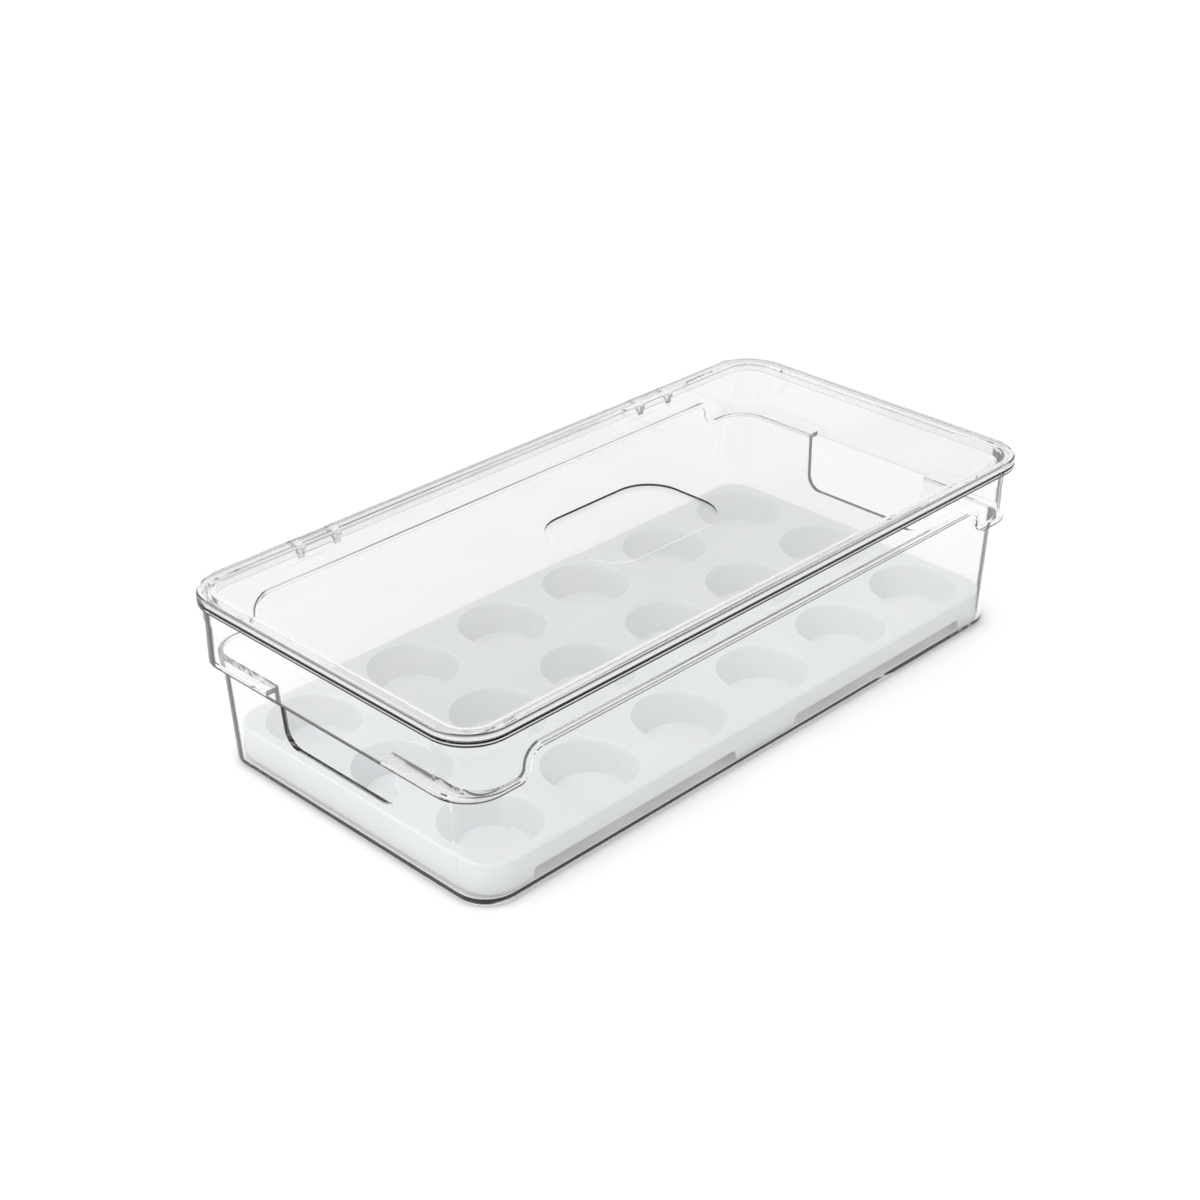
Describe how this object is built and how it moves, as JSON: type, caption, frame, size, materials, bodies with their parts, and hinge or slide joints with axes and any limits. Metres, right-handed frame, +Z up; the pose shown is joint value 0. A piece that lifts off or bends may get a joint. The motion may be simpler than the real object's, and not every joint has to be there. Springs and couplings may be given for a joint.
{
  "type": "egg keeper",
  "caption": "Clear oblong bin for eggs with a stepped rim tier, a hand grip through each end, a loose white tray with egg bowls, and a clear lid that flips up on hinges along one long side.",
  "frame": {"origin": "centre of the bin's underside", "axes": "+Z up; X along the keeper; +Y towards the hinges at the back, -Y towards the front edge that lifts"},
  "size_m": [0.32, 0.1636, 0.076],
  "materials": {
    "clear_bin": "clear, glossy",
    "white_tray": "white, satin",
    "clear_lid": "clear, glossy"
  },
  "bodies": {
    "bin": {"bin": "clear_bin"},
    "lid": {"lid": "clear_lid"},
    "tray": {"tray": "white_tray"}
  },
  "joints": [
    {"name": "lid_flip", "type": "hinge", "parent": "bin", "child": "lid", "pos_m": [0, 0.0823, 0.0707], "axis": [-1, 0, 0], "range_deg": [0, 105]},
    {"name": "tray_lift", "type": "slide", "parent": "bin", "child": "tray", "axis": [0, 0, 1], "range_m": [0, 0.045]}
  ]
}
